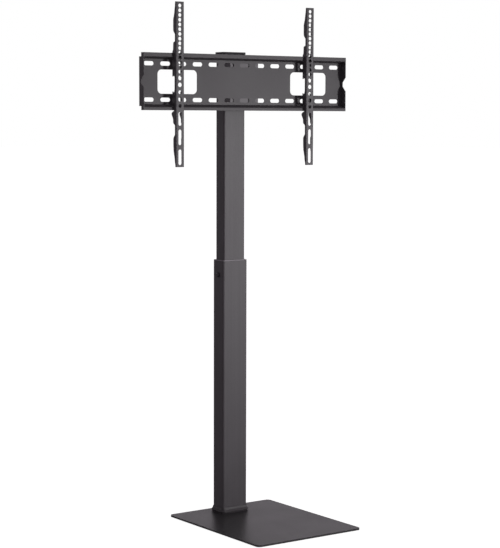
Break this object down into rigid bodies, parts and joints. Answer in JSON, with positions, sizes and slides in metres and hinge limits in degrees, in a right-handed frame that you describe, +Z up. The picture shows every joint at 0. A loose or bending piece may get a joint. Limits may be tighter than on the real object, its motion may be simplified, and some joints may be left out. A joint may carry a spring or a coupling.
{
  "type": "tv floor stand",
  "caption": "Floor stand for a flat screen: flat base plate, telescopic column, slotted hook rail and two sliding hook-on arms.",
  "frame": {"origin": "centre of the base's footprint, on the floor", "axes": "+X to the right seen from the front, -Y is the front, where the screen hangs, +Z up"},
  "size_m": [0.665, 0.423, 1.399],
  "materials": {
    "powder_coat": "fine matte powder coat, charcoal",
    "black_plastic": "moulded, matte black",
    "grey_plastic": "moulded, matte charcoal",
    "sleeve_plastic": "moulded, matte mid grey",
    "pad_rubber": "matte black",
    "black_steel": "black oxide",
    "zinc_steel": "zinc plated",
    "bare_steel": "mill finish"
  },
  "bodies": {
    "base": {"base_plate": "powder_coat", "foot_pads": "pad_rubber", "foot_block": "bare_steel", "base_bolts": "zinc_steel", "foot_trim": "grey_plastic", "lower_tube": "powder_coat", "guide_sleeve": "sleeve_plastic", "clamp_inserts": "black_steel"},
    "mast": {"upper_tube": "powder_coat", "glide_plug": "black_plastic", "top_cap": "black_plastic", "tube_rivet_nuts": "zinc_steel", "column_bracket": "powder_coat", "column_bolts": "zinc_steel", "column_washers": "zinc_steel", "rail_bracket": "powder_coat", "side_bolts": "zinc_steel", "side_washers": "zinc_steel", "side_nuts": "zinc_steel", "rail_plate": "powder_coat"},
    "left_arm": {"left_arm": "powder_coat"},
    "right_arm": {"right_arm": "powder_coat"},
    "left_clamp": {"left_clamp_screw": "black_steel"},
    "right_clamp": {"right_clamp_screw": "black_steel"}
  },
  "joints": [
    {"name": "height_slide", "type": "slide", "parent": "base", "child": "mast", "axis": [0, 0, 1], "range_m": [-0.42, 0.045]},
    {"name": "left_arm_slide", "type": "slide", "parent": "mast", "child": "left_arm", "axis": [1, 0, 0], "range_m": [-0.088, 0.189]},
    {"name": "right_arm_slide", "type": "slide", "parent": "mast", "child": "right_arm", "axis": [1, 0, 0], "range_m": [-0.161, 0.116]},
    {"name": "left_clamp_travel", "type": "slide", "parent": "base", "child": "left_clamp", "axis": [-1, 0, 0], "range_m": [0, 0.005]},
    {"name": "right_clamp_travel", "type": "slide", "parent": "base", "child": "right_clamp", "axis": [1, 0, 0], "range_m": [0, 0.005]}
  ]
}
